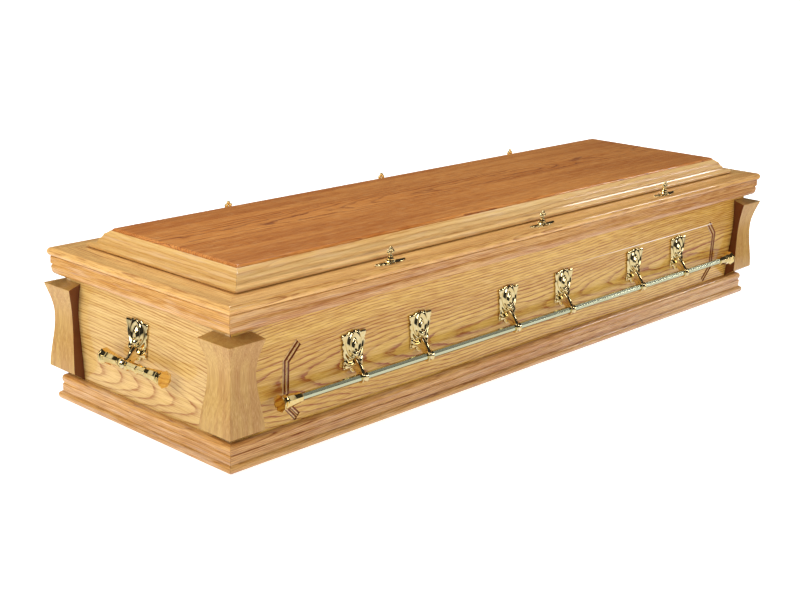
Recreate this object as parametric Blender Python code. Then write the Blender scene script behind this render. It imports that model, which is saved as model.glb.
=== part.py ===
"""A rectangular oak coffin with a raised lid, corner posts, bar handles and thumbscrews.

Metres, +X along the length, +Z up. The origin is under the middle of the base. Moulding
profiles are (offset, height): an offset counts outward from the base rectangle of
BASE_LENGTH by BASE_WIDTH.
"""

import math

import bmesh
import bpy
from mathutils import Matrix, Vector
from mathutils.geometry import interpolate_bezier

# The box and its boards.
BASE_LENGTH = 2.040
BASE_WIDTH = 0.5963
HALF_L = BASE_LENGTH / 2
HALF_W = BASE_WIDTH / 2
PANEL_OFFSET = -0.0177
PANEL_X = HALF_L + PANEL_OFFSET
PANEL_Y = HALF_W + PANEL_OFFSET
BOARD = 0.018
BASE_THICK = 0.020
FIT = 0.0003
MITRE = 0.00022

# The lid.
BOX_TOP = 0.3387
LID_BOTTOM = BOX_TOP + 0.0003
LID_TOP = LID_BOTTOM + 0.0194
END_INSET = 0.0093
RAISED_BACK = -0.107
TOP_PANEL_EDGE = -0.0878
TOP_PANEL_TOP = LID_TOP + 0.0447

# The corner posts: how far they stand off the panels, and how wide their wings are.
POST_BOTTOM = 0.0815
POST_TOP = 0.2773
POST_LIP_BOTTOM = 0.0604
POST_LIP_TOP = 0.2855
POST_LIP = 0.0008
POST_STEPS = 12
POST_THICK = (0.0356, 0.0320)
POST_WING = (0.0615, 0.0640)
POST_UNDERCUT = 0.008
POST_HIP = 0.006
SCOOP_DEEP = 0.0135
SCOOP_AT = 0.36

# The routed ornament near both ends of each long side.
BAND_X = PANEL_X - 0.1508
BAND_Z = 0.1525
BAND_HALF_TALL = 0.0475
BAND_SLANT = 0.0355
FLUTE_APART = 0.0107
FLUTE_RADIUS = 0.0053
FLUTE_RISE = 0.0023

# The handles.
BAR_FLATS = 0.016
BAR_OFF = 0.0324
BAR_Z = 0.128
BAR_TIP = PANEL_X - 0.1033
CAP_LONG = 0.060
CAP_SOCKET = 0.020
END_BAR_OFF = 0.035
END_BAR_Z = 0.159
END_BAR_TIP = 0.104
END_BAR_SLID = -0.008
END_BRACKET_SIDE = 0.018
BRACKET_XS = (-0.653, -0.436, -0.113, 0.113, 0.436, 0.653)
BRACKET_DROP = 0.056
END_BRACKET_DROP = 0.052
HUB_Z = -0.008
HUB_HIGH = 0.018
RIM_HIGH = 0.0085
BOSS_RADIUS = 0.0125
BOSS_HALF = 0.0085
ARM_HALF = 0.007

# The thumbscrews on the lid's flat border.
SCREW_XS = {"left": (-0.547, 0.0, 0.547), "right": (-0.514, 0.040, 0.608)}
SCREW_IN = 0.01315
SCREW_Y = HALF_W - SCREW_IN
SHAFT_RADIUS = 0.0034
SCREW_HOLE = 0.0040
PLATE_HALF_LONG = 0.050
PLATE_HALF_WIDE = 0.011
PLATE_THICK = 0.0028
BOSS_TALL = 0.013
HEAD_Z = 0.0245
LOBE_RADIUS = 0.0058
LOBE_OUT = 0.0062
HEAD_THICK = 0.0056


def finish(name, colour, roughness, metallic):
    """A plain material: a base colour, how rough it is and whether it is metal."""
    material = bpy.data.materials.new(name)
    material.use_nodes = True
    shader = material.node_tree.nodes["Principled BSDF"]
    shader.inputs["Base Color"].default_value = colour
    shader.inputs["Roughness"].default_value = roughness
    shader.inputs["Metallic"].default_value = metallic
    material.diffuse_color = colour
    return material


def node(name, mesh, material, helper=False):
    """An object in the scene. A helper shows as a wire and is left out of the part."""
    obj = bpy.data.objects.new(name, mesh)
    bpy.context.scene.collection.objects.link(obj)
    obj.hide_render = helper
    if helper:
        obj.display_type = "WIRE"
    if material and not mesh.materials:
        mesh.materials.append(material)
    return obj


def closed_mesh(name, bm):
    """The mesh of a finished bmesh, with every face turned outward."""
    bmesh.ops.recalc_face_normals(bm, faces=bm.faces)
    mesh = bpy.data.meshes.new(name)
    bm.to_mesh(mesh)
    bm.free()
    return mesh


def skin(bm, rings, closed=False):
    """Faces between rings of vertices and, unless the rings close, both end faces.

    It returns the last end face.
    """
    count = len(rings[0])
    last = len(rings) if closed else len(rings) - 1
    for i in range(last):
        here = rings[i]
        there = rings[(i + 1) % len(rings)]
        for j in range(count):
            k = (j + 1) % count
            bm.faces.new((here[j], here[k], there[k], there[j]))
    if closed:
        return None
    bm.faces.new(rings[0])
    return bm.faces.new(rings[-1])


def boolean(obj, other, operation):
    """An exact Boolean with a helper."""
    modifier = obj.modifiers.new(operation.lower() + "_" + other.name, "BOOLEAN")
    modifier.operation = operation
    modifier.object = other
    modifier.solver = "EXACT"


def baked(obj):
    """The mesh that the object's modifiers make."""
    graph = bpy.context.evaluated_depsgraph_get()
    return bpy.data.meshes.new_from_object(obj.evaluated_get(graph))


def board(name, size, middle, material):
    """A rectangular board."""
    bm = bmesh.new()
    where = Matrix.Translation(middle) @ Matrix.Diagonal((*size, 1))
    bmesh.ops.create_cube(bm, size=1, matrix=where)
    return node(name, closed_mesh(name, bm), material)


def cylinder(name, radius, depth, where, segments):
    """A closed cylinder as a helper, its axis along the local Z of `where`."""
    bm = bmesh.new()
    bmesh.ops.create_cone(bm, cap_ends=True, segments=segments, radius1=radius,
                          radius2=radius, depth=depth, matrix=where)
    return node(name, closed_mesh(name, bm), None, helper=True)


def arc(offset, height, wide, tall, start, end, steps):
    """Points of an ellipse's arc between two angles in degrees."""
    points = []
    for i in range(steps + 1):
        angle = math.radians(start + (end - start) * i / steps)
        points.append((offset + wide * math.cos(angle), height + tall * math.sin(angle)))
    return points


def mitred(name, profile, long_side, side, inset, material):
    """One length of a moulding round the box, with mitred ends."""
    bm = bmesh.new()
    rings = []
    for end in (-1, 1):
        ring = []
        for offset, z in profile:
            x = HALF_L - inset + offset
            y = HALF_W + offset
            if long_side:
                where = (end * (x - MITRE), side * y, z)
            else:
                where = (side * x, end * (y - MITRE), z)
            ring.append(bm.verts.new(where))
        rings.append(ring)
    skin(bm, rings)
    return node(name, closed_mesh(name, bm), material)


def four_lengths(name, profile, inset, material):
    """A moulding of four mitred lengths, two long and two short."""
    for word, long_side, side in SIDES:
        mitred(name + "_" + word, profile, long_side, side, inset, material)


def rectangle(bm, offset, z, inset=0.0):
    """Four vertices of the rectangle at this offset."""
    x = HALF_L - inset + offset
    y = HALF_W + offset
    corners = ((-x, -y), (x, -y), (x, y), (-x, y))
    return [bm.verts.new((a, b, z)) for a, b in corners]


for old in list(bpy.data.objects):
    bpy.data.objects.remove(old, do_unlink=True)

oak = finish("oak", (0.52, 0.29, 0.12, 1), 0.35, 0.0)
gilt = finish("gilt_metal", (0.80, 0.62, 0.25, 1), 0.18, 1.0)
SIDES = (("left", True, -1), ("right", True, 1), ("head", False, 1), ("foot", False, -1))

# The box: a base board, two long sides over its full length and two ends between them.
board("base_board", (2 * PANEL_X, 2 * PANEL_Y, BASE_THICK), (0, 0, BASE_THICK / 2), oak)
panel_tall = BOX_TOP - BASE_THICK - FIT
panel_mid = BOX_TOP - panel_tall / 2
for word, side in (("left", -1), ("right", 1)):
    place = (0, side * (PANEL_Y - BOARD / 2), panel_mid)
    board("side_panel_" + word, (2 * PANEL_X, BOARD, panel_tall), place, oak)
end_wide = 2 * (PANEL_Y - BOARD - FIT)
for word, side in (("head", 1), ("foot", -1)):
    place = (side * (PANEL_X - BOARD / 2), 0, panel_mid)
    board("end_panel_" + word, (BOARD, end_wide, panel_tall), place, oak)


def flute_path(shift):
    """The middle line of one flute as (x, z), moved sideways from the band's own line."""
    turn = shift * math.tan(math.radians(22.5))
    slope = shift * math.sqrt(0.5)
    high = BAND_HALF_TALL + BAND_SLANT
    tip = BAND_X - BAND_SLANT
    upper = [(tip + slope, BAND_Z + high + slope),
             (BAND_X + shift, BAND_Z + BAND_HALF_TALL + turn)]
    lower = [(x, 2 * BAND_Z - z) for x, z in reversed(upper)]
    return [Vector(point) for point in upper + lower]


def flute_cutter(name, path, mirror, side):
    """A ten-sided rod that follows the path along a long side's face."""
    bm = bmesh.new()
    rings = []
    for i, point in enumerate(path):
        before = (point - path[max(i - 1, 0)]).normalized()
        after = (path[min(i + 1, len(path) - 1)] - point).normalized()
        heading = (before + after).normalized()
        across = Vector((-heading.y, heading.x))
        if 0 < i < len(path) - 1:
            across /= max(heading.dot(after), 0.5)
        ring = []
        for k in range(10):
            angle = math.radians(-90 + 36 * k)
            flat = point + across * (FLUTE_RADIUS * math.cos(angle))
            out = PANEL_Y + FLUTE_RISE + FLUTE_RADIUS * math.sin(angle)
            ring.append(bm.verts.new((mirror * flat.x, side * out, flat.y)))
        rings.append(ring)
    skin(bm, rings)
    return node(name, closed_mesh(name, bm), None, helper=True)


for word, side in (("left", -1), ("right", 1)):
    panel = bpy.data.objects["side_panel_" + word]
    for mirror in (-1, 1):
        for shift in (-FLUTE_APART / 2, FLUTE_APART / 2):
            label = f"flute_{word}_{mirror}_{shift > 0}"
            cutter = flute_cutter(label, flute_path(shift), mirror, side)
            boolean(panel, cutter, "DIFFERENCE")

# The base mould: a torus at the foot, a flat, a notch and a bead under the panel.
BACK = PANEL_OFFSET + FIT
base_profile = [(BACK, 0.0)]
base_profile += arc(-0.0025, 0.00875, 0.0062, 0.00875, -90, 90, 8)
base_profile += [(-0.0040, 0.0180), (-0.0040, 0.0360), (-0.0060, 0.0375)]
base_profile += arc(-0.0110, 0.0486, 0.0076, 0.0109, -50, 90, 7)
base_profile += [(BACK, 0.0597)]
four_lengths("base_mould", base_profile, 0.0, oak)

# The cornice under the lid: a bead, a groove and a flat upper member.
cornice_profile = [(BACK, BOX_TOP - 0.0417)]
cornice_profile += arc(-0.0015, BOX_TOP - 0.0267, 0.0070, 0.0145, -90, 20, 6)
cornice_profile += [(0.0035, BOX_TOP - 0.0192), (0.0035, BOX_TOP - 0.0171)]
cornice_profile += [(0.0066, BOX_TOP - 0.0165), (0.0062, BOX_TOP - 0.0010)]
cornice_profile += [(0.0052, BOX_TOP), (BACK, BOX_TOP)]
four_lengths("cornice", cornice_profile, 0.0, oak)


def scoop(down):
    """How far the post's face is hollowed, 0 to 1, at a share of the way down."""
    if down <= SCOOP_AT:
        return math.sin(math.pi / 2 * down / SCOOP_AT) ** 1.1
    rest = (down - SCOOP_AT) / (1 - SCOOP_AT)
    return 0.35 * math.cos(math.pi / 2 * rest) + 0.325 * (1 + math.cos(math.pi * rest))


def post(name, end, side, material):
    """A corner post: an L in plan, hollowed in height, hipped back to the panels.

    The return of each wing is cut back a little under its face.
    """
    stations = [(POST_LIP_TOP, POST_LIP, POST_WING[0] - POST_HIP)]
    for i in range(POST_STEPS + 1):
        down = i / POST_STEPS
        hollow = SCOOP_DEEP * scoop(down)
        thick = POST_THICK[0] + (POST_THICK[1] - POST_THICK[0]) * down - hollow
        wing = POST_WING[0] + (POST_WING[1] - POST_WING[0]) * down - hollow
        stations.append((POST_TOP + (POST_BOTTOM - POST_TOP) * down, thick, wing))
    stations.append((POST_LIP_BOTTOM, POST_LIP, POST_WING[1] - POST_HIP))
    bm = bmesh.new()
    rings = []
    for z, thick, wing in stations:
        root = wing - POST_UNDERCUT * min(1, thick / POST_THICK[0])
        plan = ((thick, thick), (-wing, thick), (-root, FIT),
                (FIT, FIT), (FIT, -root), (thick, -wing))
        rings.append([bm.verts.new((end * (PANEL_X + u), side * (PANEL_Y + v), z))
                      for u, v in plan])
    skin(bm, rings)
    return node(name, closed_mesh(name, bm), material)


for end_word, end in (("head", 1), ("foot", -1)):
    for side_word, side in (("left", -1), ("right", 1)):
        post(f"corner_post_{end_word}_{side_word}", end, side, oak)

# The lid: a border with a bullnose edge, open in the middle under the raised panel.
lid_edge = arc(0.0035, (LID_BOTTOM + LID_TOP) / 2, 0.0077, (LID_TOP - LID_BOTTOM) / 2,
               90, -90, 8)
bm = bmesh.new()
rings = [rectangle(bm, RAISED_BACK, LID_TOP, END_INSET)]
rings += [rectangle(bm, offset, z) for offset, z in lid_edge]
rings += [rectangle(bm, RAISED_BACK, LID_BOTTOM, END_INSET)]
skin(bm, rings, closed=True)
lid = node("lid_border", closed_mesh("lid_border", bm), oak)

# The raised mould on the border: a nosing, a shelf and an ovolo, rebated for the panel.
MOULD_BOTTOM = LID_TOP + FIT
REBATE_Z = LID_TOP + 0.0264
OVOLO_TOP = LID_TOP + 0.0386
raised_profile = [(RAISED_BACK, MOULD_BOTTOM)]
NOSING = 0.0055
raised_profile += arc(-0.0523, MOULD_BOTTOM + NOSING, NOSING, NOSING, -90, 90, 8)
ovolo = interpolate_bezier(Vector((-0.0630, LID_TOP + 0.0116)), Vector((-0.0705, LID_TOP + 0.0236)),
                           Vector((-0.0765, OVOLO_TOP - 0.0035)), Vector((-0.0875, OVOLO_TOP)), 8)
raised_profile += [(point.x, point.y) for point in ovolo]
raised_profile += [(-0.0875, REBATE_Z), (RAISED_BACK, REBATE_Z)]
four_lengths("raised_mould", raised_profile, END_INSET, oak)

# The top panel lies in the rebate, its edge rounded over.
panel_edge = [(TOP_PANEL_EDGE, REBATE_Z + FIT)]
panel_edge += arc(TOP_PANEL_EDGE - 0.0078, OVOLO_TOP, 0.0078, TOP_PANEL_TOP - OVOLO_TOP, 0, 90, 5)
bm = bmesh.new()
skin(bm, [rectangle(bm, offset, z, END_INSET) for offset, z in panel_edge])
node("top_panel", closed_mesh("top_panel", bm), oak)


def turned(name, profile, segments, axis, material, helper=False):
    """A closed shape turned from (along, radius) points round the X or the Y axis."""
    bm = bmesh.new()
    rings = []
    for along, radius in profile:
        ring = []
        for k in range(segments):
            angle = 2 * math.pi * (k + 0.5) / segments
            a = radius * math.cos(angle)
            b = radius * math.sin(angle)
            where = (along, a, b) if axis == "X" else (a, along, b)
            ring.append(bm.verts.new(where))
        rings.append(ring)
    skin(bm, rings)
    return node(name, closed_mesh(name, bm), material, helper)


# The long bars are eight-sided. A cap's bore takes 20 mm of the bar at each end.
BAR_RADIUS = BAR_FLATS / 2 / math.cos(math.pi / 8)
BORE_RADIUS = BAR_RADIUS + 2 * FIT
BAR_END = BAR_TIP - CAP_LONG + CAP_SOCKET
CAP_START = BAR_TIP - CAP_LONG


def cap_shape(tip):
    """The outside of a cap as (along, radius), from its start to its flat end face."""
    start = tip - CAP_LONG
    return [(start, 0.0112), (start + 0.004, 0.0118), (start + 0.043, 0.0158),
            (start + 0.0455, 0.0150), (start + 0.047, 0.0128), (start + 0.054, 0.0165),
            (tip - 0.001, 0.0195), (tip, 0.0188)]


bore = [(CAP_START + CAP_SOCKET + FIT, BORE_RADIUS), (CAP_START, BORE_RADIUS)]
for word, side in (("left", -1), ("right", 1)):
    bar = turned("bar_" + word, [(-BAR_END, BAR_RADIUS), (BAR_END, BAR_RADIUS)], 8, "X", gilt)
    bar.location = (0, side * (PANEL_Y + BAR_OFF), BAR_Z)
    for end_word, turn in (("head", 0), ("foot", math.pi)):
        cap = turned(f"bar_cap_{word}_{end_word}", bore + cap_shape(BAR_TIP), 8, "X", gilt)
        cap.location = bar.location
        cap.rotation_euler = (0, 0, turn)

END_BAR_SHAPE = [(-along, radius) for along, radius in reversed(cap_shape(END_BAR_TIP))]
END_BAR_SHAPE[-1] = (END_BAR_SHAPE[-1][0], BAR_RADIUS)
END_BAR_SHAPE += [(-along, radius) for along, radius in reversed(END_BAR_SHAPE)]
for word, side in (("head", 1), ("foot", -1)):
    bar = turned("end_bar_" + word, END_BAR_SHAPE, 8, "Y", gilt)
    bar.location = (side * (PANEL_X + END_BAR_OFF), -side * END_BAR_SLID, END_BAR_Z)

# Half the bracket's outline: an angle down from the top in degrees, and a radius in mm.
SHELL_EDGE = ((0, 52.5), (8, 49.4), (16, 52.2), (24, 49.6), (31, 54.3), (39, 58.5), (51, 43),
              (79, 32), (104, 30), (123, 36), (138, 43.7), (159, 35.7), (180, 45))


def bracket_mesh(name, drop, off):
    """A shell plate with an arm that holds the bar. Its back lies on Y = 0, facing +Y."""
    right = [(math.radians(angle), radius / 1000) for angle, radius in SHELL_EDGE]
    edge = right + [(-angle, radius) for angle, radius in reversed(right[1:-1])]
    bm = bmesh.new()
    rings = []
    for share, high, wave in ((0.94, FIT, 0.0), (1.0, RIM_HIGH, 0.0),
                              (0.70, RIM_HIGH + 0.003, 0.0015)):
        ring = []
        for k, (angle, radius) in enumerate(edge):
            out = high + (wave if k % 2 == 0 else -wave)
            ring.append(bm.verts.new((share * radius * math.sin(angle), -out,
                                      HUB_Z + share * radius * math.cos(angle))))
        rings.append(ring)
    front = skin(bm, rings)
    hub = bmesh.ops.poke(bm, faces=[front])["verts"][0]
    hub.co = Vector((0, -HUB_HIGH, HUB_Z))
    shell = node(name + "_shell", closed_mesh(name, bm), None, helper=True)

    side_view = ((0.003, -0.012), (0.016, -0.014), (off + 0.006, 0.011 - drop),
                 (off, -drop), (off - 0.009, -0.010 - drop), (0.003, -0.046))
    bm = bmesh.new()
    rings = [[bm.verts.new((x, -out, z)) for out, z in side_view]
             for x in (-ARM_HALF, ARM_HALF)]
    skin(bm, rings)
    arm = node(name + "_arm", closed_mesh(name + "_arm", bm), None, helper=True)

    boss_at = Matrix.Translation((0, -off, -drop)) @ Matrix.Rotation(math.pi / 2, 4, "Y")
    boss = cylinder(name + "_boss", BOSS_RADIUS, 2 * BOSS_HALF, boss_at, 10)
    hole = turned(name + "_hole", [(-0.05, BORE_RADIUS), (0.05, BORE_RADIUS)], 8, "X",
                  None, helper=True)
    hole.location = (0, -off, -drop)
    boolean(shell, arm, "UNION")
    boolean(shell, boss, "UNION")
    boolean(shell, hole, "DIFFERENCE")
    return baked(shell)


long_bracket = bracket_mesh("long_bracket", BRACKET_DROP, BAR_OFF)
end_bracket = bracket_mesh("short_bracket", END_BRACKET_DROP, END_BAR_OFF)
for word, side in (("left", -1), ("right", 1)):
    for i, x in enumerate(BRACKET_XS):
        bracket = node(f"bracket_{word}_{i + 1}", long_bracket.copy(), gilt)
        bracket.location = (x, side * PANEL_Y, BAR_Z + BRACKET_DROP)
        bracket.rotation_euler = (0, 0, 0 if side < 0 else math.pi)
for word, side in (("head", 1), ("foot", -1)):
    bracket = node("end_bracket_" + word, end_bracket.copy(), gilt)
    bracket.location = (side * PANEL_X, -side * END_BRACKET_SIDE, END_BAR_Z + END_BRACKET_DROP)
    bracket.rotation_euler = (0, 0, side * math.pi / 2)


def plate_mesh(name):
    """A boat-shaped plate with wavy edges and a pierced boss in the middle."""
    bm = bmesh.new()
    rings = []
    steps = 9
    for z, shrink in ((FIT, 1.0), (PLATE_THICK, 0.85)):
        ring = []
        for side in (-1, 1):
            for i in range(steps):
                along = side * (2 * i / steps - 1)
                wide = (1 - along ** 2) ** 0.75 * (1 + 0.12 * math.cos(6 * math.pi * along))
                x = along * PLATE_HALF_LONG * (0.9 + 0.1 * shrink)
                ring.append(bm.verts.new((x, side * wide * PLATE_HALF_WIDE * shrink, z)))
        rings.append(ring)
    skin(bm, rings)
    plate = node(name, closed_mesh(name, bm), None, helper=True)
    bm = bmesh.new()
    bmesh.ops.create_cone(bm, cap_ends=True, segments=10, radius1=0.0120, radius2=0.0055,
                          depth=BOSS_TALL, matrix=Matrix.Translation((0, 0, BOSS_TALL / 2 + 0.001)))
    boss = node(name + "_boss", closed_mesh(name + "_boss", bm), None, helper=True)
    hole = cylinder(name + "_hole", SCREW_HOLE, 0.06, Matrix(), 8)
    boolean(plate, boss, "UNION")
    boolean(plate, hole, "DIFFERENCE")
    return baked(plate)


def screw_mesh(name):
    """A thumbscrew: a shaft, a moulded neck and a head of three lobes."""
    neck_top = HEAD_Z - 0.004
    profile = [(LID_BOTTOM - LID_TOP + 0.002, SHAFT_RADIUS), (BOSS_TALL + 0.0013, SHAFT_RADIUS),
               (BOSS_TALL + 0.0014, 0.0050), (BOSS_TALL + 0.0035, 0.0056),
               (BOSS_TALL + 0.0060, 0.0032), (neck_top, 0.0030)]
    bm = bmesh.new()
    rings = []
    for z, radius in profile:
        rings.append([bm.verts.new((radius * math.cos(2 * math.pi * k / 8),
                                    radius * math.sin(2 * math.pi * k / 8), z))
                      for k in range(8)])
    skin(bm, rings)
    screw = node(name, closed_mesh(name, bm), None, helper=True)
    across = Matrix.Rotation(math.pi / 2, 4, "X") @ Matrix.Rotation(math.pi / 8, 4, "Z")
    for k, degrees in enumerate((0, 90, 180)):
        angle = math.radians(degrees)
        lobe_at = Matrix.Translation((LOBE_OUT * math.cos(angle), 0,
                                      HEAD_Z + LOBE_OUT * math.sin(angle)))
        lobe = cylinder(f"{name}_lobe_{k}", LOBE_RADIUS, HEAD_THICK - 0.0002 * k,
                        lobe_at @ across, 8)
        boolean(screw, lobe, "UNION")
    return baked(screw)


plate = plate_mesh("plate")
screw = screw_mesh("screw")
for word, side in (("left", -1), ("right", 1)):
    for i, x in enumerate(SCREW_XS[word]):
        spot = (x, side * SCREW_Y, LID_TOP)
        node(f"screw_plate_{word}_{i + 1}", plate.copy(), gilt).location = spot
        node(f"thumbscrew_{word}_{i + 1}", screw.copy(), gilt).location = spot
        drill = Matrix.Translation((x, side * SCREW_Y, LID_TOP))
        cutter = cylinder(f"screw_hole_{word}_{i + 1}", SCREW_HOLE, 0.1, drill, 8)
        boolean(lid, cutter, "DIFFERENCE")
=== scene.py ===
import math

import bmesh
import bpy
from mathutils import Matrix, Vector


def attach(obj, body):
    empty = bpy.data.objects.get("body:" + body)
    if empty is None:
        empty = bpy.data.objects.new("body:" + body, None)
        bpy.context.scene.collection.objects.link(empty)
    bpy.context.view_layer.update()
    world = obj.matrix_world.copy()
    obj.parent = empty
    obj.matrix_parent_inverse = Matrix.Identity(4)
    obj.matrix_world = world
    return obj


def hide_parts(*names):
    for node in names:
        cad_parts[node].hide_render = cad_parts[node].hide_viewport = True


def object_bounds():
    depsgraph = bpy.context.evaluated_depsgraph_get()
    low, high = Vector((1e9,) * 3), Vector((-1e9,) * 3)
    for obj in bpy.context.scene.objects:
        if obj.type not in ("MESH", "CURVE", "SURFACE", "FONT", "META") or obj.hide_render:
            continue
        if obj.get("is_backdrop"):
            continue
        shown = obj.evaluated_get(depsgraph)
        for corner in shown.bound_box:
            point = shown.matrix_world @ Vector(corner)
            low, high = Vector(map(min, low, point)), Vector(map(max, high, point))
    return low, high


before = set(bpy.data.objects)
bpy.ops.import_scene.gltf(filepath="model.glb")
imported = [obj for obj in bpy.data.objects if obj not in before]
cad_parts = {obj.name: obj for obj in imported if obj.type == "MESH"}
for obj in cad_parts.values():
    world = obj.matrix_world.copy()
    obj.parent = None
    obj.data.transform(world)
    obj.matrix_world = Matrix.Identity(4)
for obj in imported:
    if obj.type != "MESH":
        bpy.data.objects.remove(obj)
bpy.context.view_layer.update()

# Camera. It stands off the near corner at a walking distance and looks down on the lid a
# little. Its lens and shift give the photograph's framing of 800 by 600.
IMAGE_WIDE = 800
FOCAL = 1348.8
CAMERA_AT = (-2.6708, -2.1824, 1.1098)
CAMERA_YAW, CAMERA_PITCH, CAMERA_ROLL = -44.386, 69.310, 0.970
CAMERA_SHIFT = 0.125

scene = bpy.context.scene
scene.view_settings.view_transform = "Standard"
camera = bpy.data.objects.new("camera", bpy.data.cameras.new("camera"))
scene.collection.objects.link(camera)
camera.data.sensor_width = 36
camera.data.lens = FOCAL * camera.data.sensor_width / IMAGE_WIDE
camera.data.shift_x = CAMERA_SHIFT
camera.data.shift_y = CAMERA_SHIFT
camera.data.clip_end = 200
camera.matrix_world = (Matrix.Translation(CAMERA_AT)
                       @ Matrix.Rotation(math.radians(CAMERA_YAW), 4, "Z")
                       @ Matrix.Rotation(math.radians(CAMERA_PITCH), 4, "X")
                       @ Matrix.Rotation(math.radians(CAMERA_ROLL), 4, "Z"))
scene.camera = camera


def colour(code):
    """The linear colour of an sRGB hex code."""
    parts = [int(code[i:i + 2], 16) / 255 for i in (0, 2, 4)]
    linear = [c / 12.92 if c <= 0.04045 else ((c + 0.055) / 1.055) ** 2.4 for c in parts]
    return (*linear, 1)


def add(tree, kind, inputs=None, **settings):
    """Adds a node: `settings` are its own fields, `inputs` the values or links of its sockets."""
    made = tree.nodes.new(kind)
    for field, value in settings.items():
        setattr(made, field, value)
    for socket, value in (inputs or {}).items():
        if isinstance(value, bpy.types.NodeSocket):
            tree.links.new(value, made.inputs[socket])
        else:
            made.inputs[socket].default_value = value
    return made


# Studio. White paper that stays clean white far out, soft boxes to the left, in front and
# above, a long strip past the head end for the mouldings' highlights, and two dim cards that
# the handles mirror. Polished metal sees a dark room past the paper's bright middle.
FLOOR_SIDE, FLOOR_DROP = 120, 0.0004
GLOW_NEAR, GLOW_FAR = 0.72, 1.1
GLOW_FROM, GLOW_TO = 1.3, 3.2
PAPER_NEAR, PAPER_FAR = 1.3, 2.1
ROOM_SOFT, ROOM_DARK = 0.34, 0.035
BOXES = (
    ("key_box", (-4.0, 0.5, 2.0), (-1.0, 0.0, 0.2), 2.3, 1.7, 82),
    ("front_box", (0.2, -4.5, 1.9), (0.0, 0.0, 0.2), 2.8, 1.2, 52),
    ("far_strip", (4.20, -1.71, 1.77), (4.20, -0.30, 0.36), 2.3, 0.45, 44),
    ("bar_card", (2.95, -1.23, 2.27), (2.95, -0.33, 0.15), 3.8, 0.35, 2.6),
    ("end_card", (-1.83, 1.90, 1.62), (-1.04, 0.0, 0.20), 0.8, 0.5, 1.0),
    ("top_box", (0.2, 1.2, 3.4), (0.0, 0.0, 0.3), 2.4, 1.0, 90),
)

bm = bmesh.new()
bmesh.ops.create_grid(bm, x_segments=1, y_segments=1, size=FLOOR_SIDE / 2)
mesh = bpy.data.meshes.new("floor")
bm.to_mesh(mesh)
bm.free()
floor = bpy.data.objects.new("floor", mesh)
floor.location.z = -FLOOR_DROP
scene.collection.objects.link(floor)
floor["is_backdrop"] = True
paper = bpy.data.materials.new("white_paper_sweep")
paper.use_nodes = True
shader = paper.node_tree.nodes["Principled BSDF"]
shader.inputs["Base Color"].default_value = (0.80, 0.80, 0.80, 1)
shader.inputs["Roughness"].default_value = 0.9
shader.inputs["Emission Color"].default_value = (1, 1, 1, 1)
mesh.materials.append(paper)
tree = paper.node_tree
across = add(tree, "ShaderNodeTexCoord").outputs["Object"]
across = add(tree, "ShaderNodeVectorMath", {0: across}, operation="LENGTH").outputs["Value"]
glow = add(tree, "ShaderNodeMapRange",
           {0: across, 1: GLOW_FROM, 2: GLOW_TO, 3: GLOW_NEAR, 4: GLOW_FAR})
tree.links.new(glow.outputs[0], shader.inputs["Emission Strength"])
seen = add(tree, "ShaderNodeMapRange", {0: across, 1: PAPER_NEAR, 2: PAPER_FAR, 3: 1.0, 4: 0.02})
mirrored = add(tree, "ShaderNodeEmission", {"Strength": seen.outputs[0]}).outputs[0]
ray = add(tree, "ShaderNodeLightPath").outputs["Is Glossy Ray"]
either = add(tree, "ShaderNodeMixShader", {0: ray, 1: shader.outputs[0], 2: mirrored})
tree.links.new(either.outputs[0], tree.nodes["Material Output"].inputs["Surface"])

world = bpy.data.worlds.new("dark_room")
scene.world = world
world.use_nodes = True
tree = world.node_tree
rays = add(tree, "ShaderNodeLightPath")
level = add(tree, "ShaderNodeMix", {0: rays.outputs["Is Glossy Ray"], 2: ROOM_SOFT, 3: ROOM_DARK})
level = add(tree, "ShaderNodeMix",
            {0: rays.outputs["Is Camera Ray"], 2: level.outputs[0], 3: GLOW_FAR})
tree.links.new(level.outputs[0], tree.nodes["Background"].inputs["Strength"])
tree.nodes["Background"].inputs["Color"].default_value = (1, 1, 1, 1)

for name, at, aim, wide, tall, power in BOXES:
    lamp = bpy.data.lights.new(name, "AREA")
    lamp.shape = "RECTANGLE"
    lamp.size, lamp.size_y, lamp.energy = wide, tall, power
    box = bpy.data.objects.new(name, lamp)
    box.location = at
    box.rotation_euler = (Vector(aim) - Vector(at)).to_track_quat("-Z", "Y").to_euler()
    scene.collection.objects.link(box)


# Boards. The long sides, the ends and the base are oak-faced boards, sawn plain, so that
# the year rings come out as long flames and ovals on their faces.
GRAIN_TURN = {"X": (0, 0, 0), "Y": (0, 0, -math.pi / 2), "Z": (0, math.pi / 2, 0)}
PANEL_X, PANEL_Y = 1.0023, 0.28045
HALF_L, HALF_W = 1.020, 0.29815
RING_SPACING = 0.0062
PORE_LONG, PORE_WIDE = 0.030, 0.0022
STREAK_LONG, STREAK_WIDE = 0.60, 0.012
HAIR_LONG, HAIR_WIDE = 0.045, 0.0013
FIBRE_PALE, FILM_PALE = "F2CF92", "F4DEC8"
# The flutes darken by their depth, partly a stain and partly painted shade on their steep sides,
# and their bottoms get a painted highlight.
FLUTE_DEEP, FLUTE_STAIN_AND_SHADE, FLUTE_HIGHLIGHT = 0.0032, "6E2E10", "F6DDB0"
FLUTE_STOPS = ((0.01, 0.0), (0.03, 1.0), (0.72, 0.95), (0.86, 0.10), (0.97, 0.0))
# The scored line is a painted highlight, fading in toward the head end.
SCORE_Z, SCORE_HALF, SCORE_HIGHLIGHT = 0.2328, 0.0009, "FFF6EA"
SCORE_FAINT, SCORE_FULL, SCORE_END = 0.15, 0.50, 0.836
RING_STOPS = ((0.07, 1.0), (0.17, 0.50), (0.34, 0.12), (0.60, 0.0), (0.95, 0.10))
RING_EDGE = 0.85


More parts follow.
